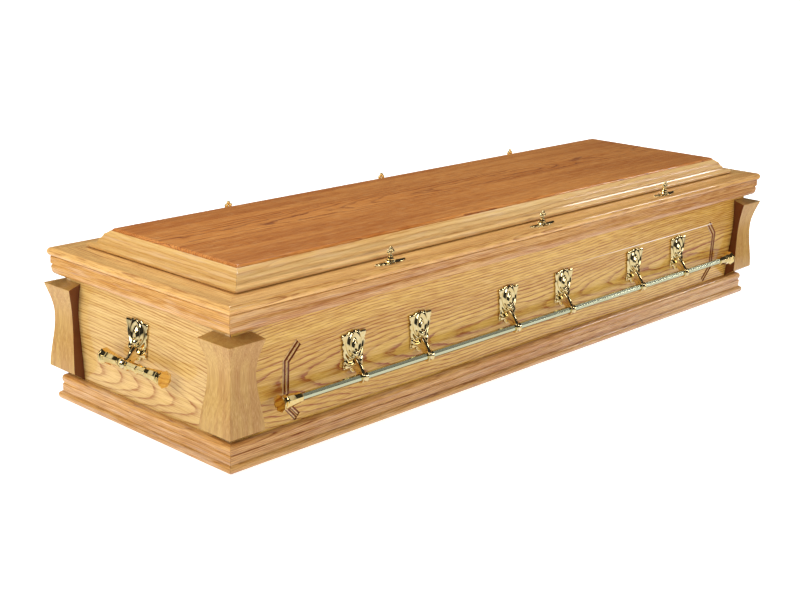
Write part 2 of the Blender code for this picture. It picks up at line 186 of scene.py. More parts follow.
def routed_colour(tree, place, wood):
    """The colour of a long side: flutes darkened by depth (stain and painted shade), painted
    highlights on their bottoms and along the scored line above.
    """
    spot = add(tree, "ShaderNodeSeparateXYZ", {0: place})
    face = add(tree, "ShaderNodeMath", {0: spot.outputs["Y"]}, operation="ABSOLUTE").outputs[0]
    deep = add(tree, "ShaderNodeMath", {0: PANEL_Y, 1: face}, operation="SUBTRACT").outputs[0]
    deep = add(tree, "ShaderNodeMath", {0: deep, 1: FLUTE_DEEP}, operation="DIVIDE").outputs[0]
    mask = add(tree, "ShaderNodeValToRGB", {0: deep})
    for stop, value in FLUTE_STOPS:
        mask.color_ramp.elements.new(stop).color = (value, value, value, 1)
    mask.color_ramp.elements[0].color = (0, 0, 0, 1)
    mask.color_ramp.elements[-1].color = (0, 0, 0, 1)
    # Stain and painted shade on the flutes' steep sides, then a painted highlight on their bottoms.
    wood = add(tree, "ShaderNodeMix", {0: mask.outputs[0], 6: wood, 7: colour(FLUTE_STAIN_AND_SHADE)},
               data_type="RGBA").outputs[2]
    bottom = add(tree, "ShaderNodeMapRange", {0: deep, 1: 0.80, 2: 0.92, 4: 0.55}).outputs[0]
    wood = add(tree, "ShaderNodeMix", {0: bottom, 6: wood, 7: colour(FLUTE_HIGHLIGHT)},
               data_type="RGBA").outputs[2]
    # A painted highlight along the scored line, fading in toward the head end and stopping short of
    # it.
    near = add(tree, "ShaderNodeMath", {0: spot.outputs["Z"], 1: SCORE_Z, 2: SCORE_HALF},
               operation="COMPARE").outputs[0]
    fade = add(tree, "ShaderNodeMapRange",
               {0: spot.outputs["X"], 1: SCORE_FAINT, 2: SCORE_FULL}).outputs[0]
    stop = add(tree, "ShaderNodeMath", {0: spot.outputs["X"], 1: SCORE_END},
               operation="LESS_THAN").outputs[0]
    near = add(tree, "ShaderNodeMath", {0: near, 1: fade}, operation="MULTIPLY").outputs[0]
    near = add(tree, "ShaderNodeMath", {0: near, 1: stop}, operation="MULTIPLY").outputs[0]
    return add(tree, "ShaderNodeMix", {0: near, 6: wood, 7: colour(SCORE_HIGHLIGHT)},
               data_type="RGBA").outputs[2]


def oak(name, grain, pale, deep, line, pith=(0, 0.30, 0), tilt=(0, 0), ring=RING_SPACING,
        wander=0.010, contrast=0.6, haze=0.0, shift=0.0, fine=0.5, frame_grain=False,
        returns_shade=None, routed=False):
    """Lacquered oak, its rings round a pith line that runs nearly along the grain.

    The pith is given in the board's own directions: along, across and across. The tilt turns
    it, so that the rings run out of the face as flames. The colours are the pale late wood,
    the deeper tone that it shades into, and the open pores' line at each ring's start.
    `fine` is how strong the hair-thin fibres are. With frame_grain the grain turns at the
    lid's mitres. The returns colour is painted shade, mixed onto the faces that look back
    toward the boards' middles. `routed` darkens the flutes by their depth, partly a stain and
    partly painted shade, gives their bottoms a painted highlight and paints the highlight of
    the scored line above.
    """
    made = bpy.data.materials.new(name)
    made.use_nodes = True
    tree = made.node_tree
    shader = tree.nodes["Principled BSDF"]
    place = add(tree, "ShaderNodeTexCoord").outputs["Object"]
    where = add(tree, "ShaderNodeMapping", {0: place, "Rotation": GRAIN_TURN[grain]}).outputs[0]
    if frame_grain:
        turned_round = add(tree, "ShaderNodeMapping", {0: place, "Rotation": GRAIN_TURN["Y"]})
        rim = add(tree, "ShaderNodeVectorMath", {0: place}, operation="ABSOLUTE").outputs[0]
        rim = add(tree, "ShaderNodeVectorMath", {0: rim, 1: (HALF_L, HALF_W, 0)},
                  operation="SUBTRACT").outputs[0]
        rim = add(tree, "ShaderNodeSeparateXYZ", {0: rim})
        at_end = add(tree, "ShaderNodeMath", {0: rim.outputs["X"], 1: rim.outputs["Y"]},
                     operation="GREATER_THAN").outputs[0]
        where = add(tree, "ShaderNodeMix", {0: at_end, 4: where, 5: turned_round.outputs[0]},
                    data_type="VECTOR").outputs[1]
    moved = add(tree, "ShaderNodeMapping", {0: where, "Location": (shift, shift, shift)}).outputs[0]

    slow = add(tree, "ShaderNodeMapping", {0: moved, "Scale": (1.6, 5, 5)}).outputs[0]
    slow = add(tree, "ShaderNodeTexNoise", {"Vector": slow, "Scale": 1.0, "Detail": 1.5})
    slow = add(tree, "ShaderNodeVectorMath", {0: slow.outputs["Color"], 1: (0.5, 0.5, 0.5)},
               operation="SUBTRACT").outputs[0]
    slow = add(tree, "ShaderNodeVectorMath", {0: slow, 1: (0, 3.2 * wander, 3.2 * wander)},
               operation="MULTIPLY").outputs[0]
    quick = add(tree, "ShaderNodeMapping", {0: moved, "Scale": (14, 34, 34)}).outputs[0]
    quick = add(tree, "ShaderNodeTexNoise", {"Vector": quick, "Scale": 1.0, "Detail": 2.0})
    quick = add(tree, "ShaderNodeVectorMath", {0: quick.outputs["Color"], 1: (0.5, 0.5, 0.5)},
                operation="SUBTRACT").outputs[0]
    quick = add(tree, "ShaderNodeVectorMath", {0: quick, 1: (0, 0.45 * wander, 0.45 * wander)},
                operation="MULTIPLY").outputs[0]
    bent = add(tree, "ShaderNodeVectorMath", {0: where, 1: slow}, operation="ADD").outputs[0]
    bent = add(tree, "ShaderNodeVectorMath", {0: bent, 1: quick}, operation="ADD").outputs[0]
    bent = add(tree, "ShaderNodeVectorMath", {0: bent, 1: pith}, operation="SUBTRACT").outputs[0]
    bent = add(tree, "ShaderNodeMapping",
               {0: bent, "Rotation": (0, math.radians(tilt[0]), math.radians(tilt[1]))}).outputs[0]
    bent = add(tree, "ShaderNodeVectorMath", {0: bent, 1: (0, 1, 1)},
               operation="MULTIPLY").outputs[0]
    away = add(tree, "ShaderNodeVectorMath", {0: bent}, operation="LENGTH").outputs["Value"]
    count = add(tree, "ShaderNodeMath", {0: away, 1: ring}, operation="DIVIDE").outputs[0]
    phase = add(tree, "ShaderNodeMath", {0: count}, operation="FRACT").outputs[0]
    rings = add(tree, "ShaderNodeValToRGB", {0: phase})
    for stop, value in RING_STOPS:
        rings.color_ramp.elements.new(stop).color = (value, value, value, 1)
    rings.color_ramp.elements[0].color = (RING_EDGE, RING_EDGE, RING_EDGE, 1)
    rings.color_ramp.elements[-1].color = (RING_EDGE, RING_EDGE, RING_EDGE, 1)

    streak = add(tree, "ShaderNodeMapping",
                 {0: moved, "Scale": (1 / STREAK_LONG, 1 / STREAK_WIDE, 1 / STREAK_WIDE)})
    streak = add(tree, "ShaderNodeTexNoise",
                 {"Vector": streak.outputs[0], "Scale": 1.0, "Detail": 3.0, "Roughness": 0.6})
    pore = add(tree, "ShaderNodeMapping",
               {0: moved, "Scale": (1 / PORE_LONG, 1 / PORE_WIDE, 1 / PORE_WIDE)})
    pore = add(tree, "ShaderNodeTexNoise", {"Vector": pore.outputs[0], "Scale": 1.0, "Detail": 1.0})
    pore = add(tree, "ShaderNodeMapRange", {0: pore.outputs[0], 1: 0.52, 2: 0.70}).outputs[0]

    strength = add(tree, "ShaderNodeMapRange",
                   {0: streak.outputs[0], 1: 0.38, 2: 0.62, 3: 0.35 * contrast, 4: contrast})
    dark = add(tree, "ShaderNodeMath", {0: rings.outputs[0], 1: strength.outputs[0]},
               operation="MULTIPLY").outputs[0]
    speck = add(tree, "ShaderNodeMath", {0: rings.outputs[0], 1: 0.20}, operation="ADD").outputs[0]
    speck = add(tree, "ShaderNodeMath", {0: pore, 1: speck}, operation="MULTIPLY").outputs[0]
    dark = add(tree, "ShaderNodeMath", {0: speck, 1: 0.40 * contrast, 2: dark},
               operation="MULTIPLY_ADD", use_clamp=True).outputs[0]

    patch = add(tree, "ShaderNodeMapping", {0: moved, "Scale": (1.4, 16, 16)}).outputs[0]
    patch = add(tree, "ShaderNodeTexNoise", {"Vector": patch, "Scale": 1.0, "Detail": 2.0})
    tone = add(tree, "ShaderNodeMath", {0: streak.outputs[0], 1: patch.outputs[0]},
               operation="ADD").outputs[0]
    tone = add(tree, "ShaderNodeMapRange", {0: tone, 1: 0.80, 2: 1.22}).outputs[0]
    wood = add(tree, "ShaderNodeMix", {0: tone, 6: colour(pale), 7: colour(deep)}, data_type="RGBA")
    wood = add(tree, "ShaderNodeMix", {0: dark, 6: wood.outputs[2], 7: colour(line)},
               data_type="RGBA").outputs[2]
    hair = add(tree, "ShaderNodeMapping",
               {0: moved, "Scale": (1 / HAIR_LONG, 1 / HAIR_WIDE, 1 / HAIR_WIDE)}).outputs[0]
    hair = add(tree, "ShaderNodeTexNoise", {"Vector": hair, "Scale": 1.0, "Detail": 2.0}).outputs[0]
    low = add(tree, "ShaderNodeMapRange", {0: hair, 1: 0.47, 2: 0.36, 4: 0.62 * fine}).outputs[0]
    lit = add(tree, "ShaderNodeMapRange", {0: hair, 1: 0.53, 2: 0.66, 4: 0.36 * fine}).outputs[0]
    wood = add(tree, "ShaderNodeMix", {0: low, 6: wood, 7: colour(line)}, data_type="RGBA")
    wood = add(tree, "ShaderNodeMix", {0: lit, 6: wood.outputs[2], 7: colour(FIBRE_PALE)},
               data_type="RGBA").outputs[2]
    if haze:
        film = add(tree, "ShaderNodeMapping", {0: moved, "Scale": (9, 120, 120)}).outputs[0]
        film = add(tree, "ShaderNodeTexNoise", {"Vector": film, "Scale": 1.0, "Detail": 2.0})
        film = add(tree, "ShaderNodeMapRange", {0: film.outputs[0], 1: 0.50, 2: 0.68, 4: haze})
        wood = add(tree, "ShaderNodeMix", {0: film.outputs[0], 6: wood, 7: colour(FILM_PALE)},
                   data_type="RGBA").outputs[2]
    if routed:
        wood = routed_colour(tree, place, wood)
    # Painted shade: the faces that look back toward the boards' middles are mixed toward the
    # returns colour.
    if returns_shade:
        out = add(tree, "ShaderNodeVectorMath", {0: place}, operation="SIGN").outputs[0]
        facing = add(tree, "ShaderNodeNewGeometry").outputs["True Normal"]
        facing = add(tree, "ShaderNodeVectorMath", {0: facing, 1: (1, 1, 0)}, operation="MULTIPLY")
        facing = add(tree, "ShaderNodeVectorMath", {0: facing.outputs[0], 1: out},
                     operation="DOT_PRODUCT").outputs["Value"]
        facing = add(tree, "ShaderNodeMapRange", {0: facing, 1: -0.3, 2: -0.6}).outputs[0]
        wood = add(tree, "ShaderNodeMix", {0: facing, 6: wood, 7: colour(returns_shade)},
                   data_type="RGBA").outputs[2]
    tree.links.new(wood, shader.inputs["Base Color"])
    dull = add(tree, "ShaderNodeMapRange", {0: streak.outputs[0], 3: 0.34, 4: 0.48}).outputs[0]
    tree.links.new(dull, shader.inputs["Roughness"])
    relief = add(tree, "ShaderNodeBump", {"Strength": 0.25, "Distance": 0.0003, "Height": dark},
                 invert=True)
    tree.links.new(relief.outputs[0], shader.inputs["Normal"])
    shader.inputs["IOR"].default_value = 1.5
    shader.inputs["Specular IOR Level"].default_value = 0.12
    shader.inputs["Coat Weight"].default_value = 0.8
    shader.inputs["Coat Roughness"].default_value = 0.06
    return made


def dress(node, material):
    """Gives a CAD node a finer material."""
    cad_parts[node].data.materials.clear()
    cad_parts[node].data.materials.append(material)


side_oak = oak("long_side_oak", "X", "DAB054", "C79840", "93490C", pith=(0, -0.215, 0.150),
               tilt=(0.8, 2.0), ring=0.0056, wander=0.013, contrast=1.25, fine=0.75, routed=True)
end_oak = oak("end_oak", "Y", "DAB672", "CEA75C", "9A5A18", pith=(0, 0.932, 0.100),
              tilt=(0.3, -5.0), ring=0.0060, wander=0.010, contrast=1.0, fine=0.6, shift=3.1)
base_oak = oak("base_oak", "X", "DDB27A", "CE9E60", "A86F3A", contrast=0.5, shift=5.2)
for word in ("left", "right"):
    dress("side_panel_" + word, side_oak)
for word in ("head", "foot"):
    dress("end_panel_" + word, end_oak)
dress("base_board", base_oak)


# Mouldings. The base mould, the cornice and the raised mould on the lid are each four lengths
# of oak, moulded on a spindle and mitred at the corners, with every sharp arris sanded off.
BACK = -0.0174
BOX_TOP = 0.3387
LID_BOTTOM, LID_TOP = 0.339, 0.3584
END_INSET = 0.0093
RAISED_BACK = -0.107
MOULD_BOTTOM = 0.3587
REBATE_Z = 0.3848
CORNER_ROUND = 0.0022
MITRE = 0.00022
EASED = 0.0007
SHARP = math.radians(38)


def arc(offset, height, wide, tall, start, end, steps):
    """Points of an ellipse's arc between two angles in degrees."""
    turns = [math.radians(start + (end - start) * i / steps) for i in range(steps + 1)]
    return [(offset + wide * math.cos(t), height + tall * math.sin(t)) for t in turns]


def grown(bm, rings):
    """A closed body through rings of places, by extruding one face through them all."""
    face = bm.faces.new([bm.verts.new(place) for place in rings[0]])
    for i, places in enumerate(rings[1:]):
        parts = bmesh.ops.extrude_face_region(bm, geom=[face])["geom"]
        if i > 0:
            bmesh.ops.delete(bm, geom=[face], context="FACES_ONLY")
        face = next(part for part in parts if isinstance(part, bmesh.types.BMFace))
        for corner, place in zip(face.verts, places):
            corner.co = place
    return face


def piece(name, bm, material, stands_for, eased=EASED, sharp=SHARP):
    """A finished piece of the coffin from a bmesh, in place of the CAD nodes that it stands for."""
    bmesh.ops.recalc_face_normals(bm, faces=bm.faces)
    mesh = bpy.data.meshes.new(name)
    bm.to_mesh(mesh)
    bm.free()
    mesh.shade_smooth()
    mesh.set_sharp_from_angle(angle=sharp)
    mesh.materials.append(material)
    made = bpy.data.objects.new(name, mesh)
    scene.collection.objects.link(made)
    if eased:
        soft = made.modifiers.new("eased_edges", "BEVEL")
        soft.width, soft.segments, soft.limit_method, soft.angle_limit = eased, 2, "ANGLE", sharp
        soft.harden_normals = True
    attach(made, "root")
    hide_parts(*stands_for)
    return made


def round_corner(offset, end, side, degrees, inset):
    """Where a moulding's outline passes a corner: 0 is the long side's face, 90 the end's."""
    turn = math.radians(degrees)
    x = HALF_L - inset + offset - CORNER_ROUND * (1 - math.sin(turn))
    y = HALF_W + offset - CORNER_ROUND * (1 - math.cos(turn))
    return end * x, side * y


def mitred(name, profile, word, inset, material, stands_for):
    """One length of a moulding, its visible arrises rounded and its ends mitred."""
    long_side = word in ("left", "right")
    sign = -1 if word in ("left", "foot") else 1
    rings = []
    for end, steps in ((-1, (45, 30, 15, 0)), (1, (0, 15, 30, 45))):
        for turn in steps:
            ring = []
            for offset, z in profile:
                if long_side:
                    x, y = round_corner(offset, end, sign, turn, inset)
                    x -= end * MITRE if turn == 45 else 0
                else:
                    x, y = round_corner(offset, sign, end, 90 - turn, inset)
                    y -= end * MITRE if turn == 45 else 0
                ring.append((x, y, z))
            rings.append(ring)
    bm = bmesh.new()
    grown(bm, rings)
    return piece(name, bm, material, [stands_for])


base_profile = [(BACK, 0.0)] + arc(-0.0025, 0.00875, 0.0062, 0.00875, -90, 90, 20)
base_profile += [(-0.0040, 0.0180), (-0.0040, 0.0360), (-0.0060, 0.0375)]
base_profile += arc(-0.0110, 0.0486, 0.0076, 0.0109, -50, 90, 18) + [(BACK, 0.0597)]
cornice_profile = [(BACK, 0.297)] + arc(-0.0015, 0.3120, 0.0070, 0.0145, -90, 20, 18)
cornice_profile += [(0.0035, 0.3195), (0.0035, 0.3216), (0.0066, 0.3222)]
cornice_profile += [(0.0062, 0.3377), (0.0052, BOX_TOP), (BACK, BOX_TOP)]
raised_profile = [(RAISED_BACK, MOULD_BOTTOM)] + arc(-0.0523, 0.3642, 0.0055, 0.0055, -90, 90, 16)
OVOLO = ((-0.0630, 0.3700), (-0.0705, 0.3820), (-0.0765, 0.3935), (-0.0875, 0.3970))
REED_HIGH, OVOLO_STEPS = 0.0013, 36
for i in range(OVOLO_STEPS + 1):
    t = i / OVOLO_STEPS
    share = ((1 - t) ** 3, 3 * t * (1 - t) ** 2, 3 * t * t * (1 - t), t ** 3)
    reed = REED_HIGH * max(math.sin(2.5 * math.pi * t) ** 8, math.sin(0.5 * math.pi * t) ** 60)
    out, high = (sum(s * p[k] for s, p in zip(share, OVOLO)) for k in (0, 1))
    raised_profile.append((out + reed, high + 0.5 * reed))
raised_profile += [(-0.0875, REBATE_Z), (RAISED_BACK, REBATE_Z)]

long_mould_oak = oak("long_mould_oak", "X", "D2A05A", "BA8044", "86461A",
                     pith=(0, -0.36, 0.12), tilt=(0.5, 1.0), ring=0.0040, wander=0.010,
                     contrast=0.85, haze=0.12, fine=0.8, shift=7.7)
end_mould_oak = oak("end_mould_oak", "Y", "D5A058", "C28A42", "935820",
                    pith=(0, 1.08, 0.14), tilt=(0.5, 2.0), ring=0.0040, wander=0.010,
                    contrast=0.8, haze=0.22, fine=0.8, shift=9.3)
long_raised_oak = oak("long_raised_oak", "X", "E8C282", "DEAF6A", "B07434",
                      pith=(0, -0.20, 0.31), tilt=(1.0, 0.4), wander=0.012, contrast=0.6,
                      haze=0.15, shift=12.4)
end_raised_oak = oak("end_raised_oak", "Y", "E0B670", "D4A55C", "B07434",
                     pith=(0, 0.93, 0.31), tilt=(1.4, 0.6), wander=0.012, contrast=0.6,
                     haze=0.15, shift=15.8)
for word in ("left", "right", "head", "foot"):
    long_side = word in ("left", "right")
    plain = long_mould_oak if long_side else end_mould_oak
    fine = long_raised_oak if long_side else end_raised_oak
    mitred("base_mould_oak_" + word, base_profile, word, 0, plain, "base_mould_" + word)
    mitred("cornice_oak_" + word, cornice_profile, word, 0, plain, "cornice_" + word)
    mitred("raised_mould_oak_" + word, raised_profile, word, END_INSET, fine,
           "raised_mould_" + word)


# Corner posts. Each is an L of solid oak, planted on the corner with its grain upright,
# hollowed in its height and hipped back to the boards at the top and the foot.
FIT = 0.0003
POST_BOTTOM, POST_TOP = 0.0815, 0.2773
POST_LIP_BOTTOM, POST_LIP_TOP, POST_LIP = 0.0604, 0.2855, 0.0008
POST_THICK, POST_WING, POST_HIP = (0.0356, 0.0320), (0.0615, 0.0640), 0.006
POST_UNDERCUT = 0.008
SCOOP_DEEP, SCOOP_AT, POST_STEPS = 0.0135, 0.36, 44

# Their returns, the faces that look back toward the boards, are darkened with painted shade.
post_oak = oak("corner_post_oak", "Z", "C09850", "AE7E3E", "80480F",
               pith=(0, 0.02, 0.15), tilt=(0.2, 0.2), ring=0.0046, wander=0.002,
               contrast=0.22, fine=0.5, shift=21.0, returns_shade="6A3110")


def scoop(down):
    """How far the post's face is hollowed, 0 to 1, at a share of the way down."""
    if down <= SCOOP_AT:
        return math.sin(math.pi / 2 * down / SCOOP_AT) ** 1.1
    rest = (down - SCOOP_AT) / (1 - SCOOP_AT)
    return 0.35 * math.cos(math.pi / 2 * rest) + 0.325 * (1 + math.cos(math.pi * rest))


for end_word, end in (("head", 1), ("foot", -1)):
    for side_word, side in (("left", -1), ("right", 1)):
        stations = [(POST_LIP_TOP, POST_LIP, POST_WING[0] - POST_HIP)]
        for i in range(POST_STEPS + 1):
            down = i / POST_STEPS
            hollow = SCOOP_DEEP * scoop(down)
            thick = POST_THICK[0] + (POST_THICK[1] - POST_THICK[0]) * down - hollow
            wing = POST_WING[0] + (POST_WING[1] - POST_WING[0]) * down - hollow
            stations.append((POST_TOP + (POST_BOTTOM - POST_TOP) * down, thick, wing))
        stations.append((POST_LIP_BOTTOM, POST_LIP, POST_WING[1] - POST_HIP))
        rings = []
        for z, thick, wing in stations:
            root = wing - POST_UNDERCUT * min(1, thick / POST_THICK[0])
            plan = ((thick, thick), (-wing, thick), (-root, FIT),
                    (FIT, FIT), (FIT, -root), (thick, -wing))
            rings.append([(end * (PANEL_X + u), side * (PANEL_Y + v), z) for u, v in plan])
        bm = bmesh.new()
        grown(bm, rings)
        label = f"{end_word}_{side_word}"
        piece("oak_post_" + label, bm, post_oak, ["corner_post_" + label], sharp=0.7)


# Lid. A flat border with a bullnose edge, and a raised panel that lies in the mould's
# rebate with its own edge rounded over. The border's grain turns at its mitred corners.
TOP_PANEL_EDGE, TOP_PANEL_TOP = -0.0878, 0.4031
SCREW_XS = {"left": (-0.547, 0.0, 0.547), "right": (-0.514, 0.040, 0.608)}
SCREW_Y = 0.285

lid_oak = oak("lid_border_oak", "X", "E2B268", "D29B54", "8E4A18", pith=(0, 0.9, 0.2),
              tilt=(0.4, 0.4), ring=0.0040, wander=0.010, contrast=0.9, fine=0.8, shift=25.0,
              frame_grain=True)
# The raised panel's colours are darker and redder than the boards': partly its own veneer, partly
# painted shade for the lesser light on the top.
top_oak = oak("top_panel_oak", "X", "DA9044", "C2742C", "823C10", pith=(0, 0.02, 0.30),
              tilt=(0.6, 0.3), ring=0.0044, wander=0.014, contrast=1.0, fine=0.7, shift=30.0)


def rounded(offset, z, inset, steps=(0, 22.5, 45, 67.5, 90)):
    """The outline of the box at this offset, its corners rounded, as places."""
    places = []
    for end, side, turns in ((-1, -1, steps[::-1]), (1, -1, steps), (1, 1, steps[::-1]),
                             (-1, 1, steps)):
        places += [(*round_corner(offset, end, side, turn, inset), z) for turn in turns]
    return places


lid_edge = arc(0.0035, (LID_BOTTOM + LID_TOP) / 2, 0.0077, (LID_TOP - LID_BOTTOM) / 2,
               90, -90, 24)
bm = bmesh.new()
rings = [rounded(RAISED_BACK, LID_TOP, END_INSET)]
rings += [rounded(offset, z, 0) for offset, z in lid_edge]
rings += [rounded(RAISED_BACK, LID_BOTTOM, END_INSET)]
loop = [bm.verts.new(place) for place in rings[0]]
first = edges = [bm.edges.new((loop[i - 1], loop[i])) for i in range(len(loop))]
for places in rings[1:]:
    out = bmesh.ops.extrude_edge_only(bm, edges=edges)["geom"]
    moved = {old: place for old, place in zip(loop, places)}
    following = []
    for old in loop:
        new = next(e.other_vert(old) for e in old.link_edges if e.other_vert(old) in out)
        new.co = moved[old]
        following.append(new)
    loop = following
    edges = [part for part in out if isinstance(part, bmesh.types.BMEdge)
             and all(v in out for v in part.verts)]
bmesh.ops.bridge_loops(bm, edges=first + edges)
piece("lid_border_oak", bm, lid_oak, ["lid_border"], eased=0)

bm = bmesh.new()
panel_edge = [(TOP_PANEL_EDGE, REBATE_Z + FIT)]
panel_edge += arc(TOP_PANEL_EDGE - 0.0078, 0.3970, 0.0078, TOP_PANEL_TOP - 0.3970, 0, 90, 12)
grown(bm, [rounded(offset, z, END_INSET) for offset, z in panel_edge])
piece("top_panel_oak", bm, top_oak, ["top_panel"])


# Handle bars. Eight-sided rod, one along each long side and a short one at each end, gilded
# and polished. Each long bar ends in two turned caps, and the short ones are cast with theirs.
BAR_FLATS, BAR_OFF, BAR_Z, BAR_TIP = 0.016, 0.0324, 0.128, 0.899
CAP_LONG, CAP_SOCKET = 0.060, 0.020
END_BAR_OFF, END_BAR_Z, END_BAR_TIP = 0.035, 0.159, 0.104
END_BAR_SLID, END_BRACKET_SIDE = -0.008, 0.018
OCTAGON = 8


def gilding(name, tone, warm, rough, wave, size):
    """Gold-coloured plate, polished: a mirror that takes the colour of the metal.

    `wave` is how deep the skin's slow unevenness is and `size` how far apart its swells lie.
    A cast piece has more of it than a drawn bar.
    """
    made = bpy.data.materials.new(name)
    made.use_nodes = True
    tree = made.node_tree
    shader = tree.nodes["Principled BSDF"]
    where = add(tree, "ShaderNodeTexCoord").outputs["Object"]
    swell = add(tree, "ShaderNodeTexNoise", {"Vector": where, "Scale": 1 / size, "Detail": 2.0})
    mixed = add(tree, "ShaderNodeMix", {0: swell.outputs[0], 6: colour(tone), 7: colour(warm)},
                data_type="RGBA")
    tree.links.new(mixed.outputs[2], shader.inputs["Base Color"])
    wiped = add(tree, "ShaderNodeTexNoise", {"Vector": where, "Scale": 160.0, "Detail": 3.0})
    dull = add(tree, "ShaderNodeMapRange", {0: wiped.outputs[0], 3: 0.6 * rough, 4: 1.5 * rough})
    tree.links.new(dull.outputs[0], shader.inputs["Roughness"])
    skin = add(tree, "ShaderNodeBump",
               {"Strength": 0.5, "Distance": wave, "Height": swell.outputs[0]})
    tree.links.new(skin.outputs[0], shader.inputs["Normal"])
    shader.inputs["Metallic"].default_value = 1.0
    return made


bar_gilt = gilding("drawn_bar_gilt", "D2D6B8", "C6C6A0", 0.15, 0.0001, 0.060)
cap_gilt = gilding("turned_cap_gilt", "F6E6AE", "E6BC66", 0.07, 0.0003, 0.010)


def turned(axis, profile, middle, sides, turn=0.5):
    """Rings of places round a line along X, Y or Z, from (along, radius) pairs."""
    rings = []
    for along, radius in profile:
        ring = []
        for k in range(sides):
            angle = 2 * math.pi * (k + turn) / sides
            a, b = radius * math.cos(angle), radius * math.sin(angle)
            step = {"X": (along, a, b), "Y": (a, along, b), "Z": (a, b, along)}[axis]
            ring.append(tuple(m + s for m, s in zip(middle, step)))
        rings.append(ring)
    return rings


def cap_outline(tip):
    """The cap's outside as (along, radius): a ferrule that swells, a neck and a bell flange."""
    start = tip - CAP_LONG
    return [(start, 0.0104), (start + 0.0008, 0.0112), (start + 0.0030, 0.0118),
            (start + 0.0042, 0.0112), (start + 0.0405, 0.0154), (start + 0.0425, 0.0158),
            (start + 0.0445, 0.0154), (start + 0.0458, 0.0136), (start + 0.0472, 0.0128),
            (start + 0.0500, 0.0140), (start + 0.0540, 0.0165), (tip - 0.0026, 0.0188),
            (tip - 0.0010, 0.0195), (tip, 0.0188), (tip, 0.0165), (tip - 0.0006, 0.0158)]


bar_radius = BAR_FLATS / 2 / math.cos(math.pi / OCTAGON)
for word, side in (("left", -1), ("right", 1)):
    middle = (0, side * (PANEL_Y + BAR_OFF), BAR_Z)
    reach = BAR_TIP - CAP_LONG + CAP_SOCKET
    bm = bmesh.new()
    grown(bm, turned("X", [(-reach, bar_radius), (reach, bar_radius)], middle, OCTAGON))
    piece("bar_gilt_" + word, bm, bar_gilt, ["bar_" + word], eased=0.0006)
    for end_word, end in (("head", 1), ("foot", -1)):
        outline = [(end * along, radius) for along, radius in cap_outline(BAR_TIP)]
        bm = bmesh.new()
        grown(bm, turned("X", outline, middle, OCTAGON))
        label = f"bar_cap_{word}_{end_word}"
        piece("gilt_" + label, bm, cap_gilt, [label], eased=0.0004)

end_bar = [(-along, radius) for along, radius in reversed(cap_outline(END_BAR_TIP))]
end_bar += [(-0.0505, 0.0100), (-0.0490, 0.0120), (-0.0475, 0.0100), (-0.0180, 0.0100),
            (-0.0165, 0.0122), (-0.0150, 0.0100)]
end_bar += [(-along, radius) for along, radius in reversed(end_bar)]
for word, side in (("head", 1), ("foot", -1)):
    middle = (side * (PANEL_X + END_BAR_OFF), -side * END_BAR_SLID, END_BAR_Z)
    bm = bmesh.new()
    grown(bm, turned("Y", end_bar, middle, OCTAGON))
    piece("gilt_end_bar_" + word, bm, cap_gilt, ["end_bar_" + word], eased=0.0004)


# Brackets. Die-cast shell plates screwed to the boards from inside, with an arm that runs out
# from the hub to a collar round the bar. Leaves curl round the hub like folded feathers.
BRACKET_XS = (-0.653, -0.436, -0.113, 0.113, 0.436, 0.653)
BRACKET_DROP, END_BRACKET_DROP = 0.056, 0.052
HUB_Z, HUB_OUT = -8.0, 0.0166
SHELL_EDGE = ((0, 52.5), (8, 49.4), (16, 52.2), (24, 49.6), (31, 54.3), (39, 58.5), (51, 43),
              (79, 32), (104, 30), (123, 36), (138, 43.7), (159, 35.7), (180, 45))
TURN_STEPS, FACE_RINGS = 168, 34
LEAF_COUNT, LEAF_SPREAD, LEAF_CURL = 2.0, 1.6, 190
FACE_LOW, DOME_HIGH, GROOVE_DEEP = 5.0, 7.0, 4.4
OVAL_WIDE, OVAL_TALL = 32, 20
BOSS_WIDE, BOSS_LOW, BOSS_HIGH = 9, 8.0, 8.5
cast_gilt = gilding("cast_bracket_gilt", "F2E6BA", "DDBB70", 0.05, 0.00003, 0.009)


def edge_radius(turn):
    """The shell's radius about the hub in millimetres, at an angle down from the top."""
    turn = abs((turn + 180) % 360 - 180)
    spans = [i for i in range(len(SHELL_EDGE) - 1) if SHELL_EDGE[i][0] <= turn]
    (a, low), (b, high) = SHELL_EDGE[spans[-1]], SHELL_EDGE[spans[-1] + 1]
    share = (turn - a) / (b - a)
    return low + (high - low) * (1 - math.cos(math.pi * share)) / 2


def leaf_high(right, up):
    """How far the cast face stands off the board at a place on the plate, in millimetres.

    The plate swells to its middle inside an oval. The leaves are the same on both sides of
    the hub, each a ridge with a groove after it.
    """
    hub = math.hypot(right, up - HUB_Z)
    turn = math.degrees(math.atan2(abs(right), up - HUB_Z))
    share = min(1.0, hub / (OVAL_WIDE + OVAL_TALL * math.cos(math.radians(turn)) ** 2))
    curled = LEAF_SPREAD * turn + LEAF_CURL * share
    leaf = 0.5 - 0.5 * math.cos(2 * math.pi * LEAF_COUNT * curled / 180)
    high = FACE_LOW + DOME_HIGH * (1 - share ** 2.4) - GROOVE_DEEP * leaf * (1 - share ** 8)
    if hub < BOSS_WIDE:
        high = max(high, BOSS_LOW + BOSS_HIGH * math.sqrt(1 - (hub / BOSS_WIDE) ** 2))
    return high


def shell_rings():
    """Rings of (right, out, up) in metres: the back, the scalloped rim and the cast face."""
    turns = [360 * k / TURN_STEPS for k in range(TURN_STEPS)]
    shares = [(0.95, 0.3), (0.985, 1.5), (1.0, 3.5)]
    shares += [(1 - (i / FACE_RINGS) ** 1.15 * 0.985, None) for i in range(FACE_RINGS + 1)]
    rings = []
    for share, high in shares:
        ring = []
        for turn in turns:
            reach = share * edge_radius(turn)
            right = reach * math.sin(math.radians(turn))
            up = HUB_Z + reach * math.cos(math.radians(turn))
            out = high if high else leaf_high(right, up) - 1.6 * max(0, 20 * share - 19)
            ring.append((right / 1000, -out / 1000, up / 1000))
        rings.append(ring)
    return rings


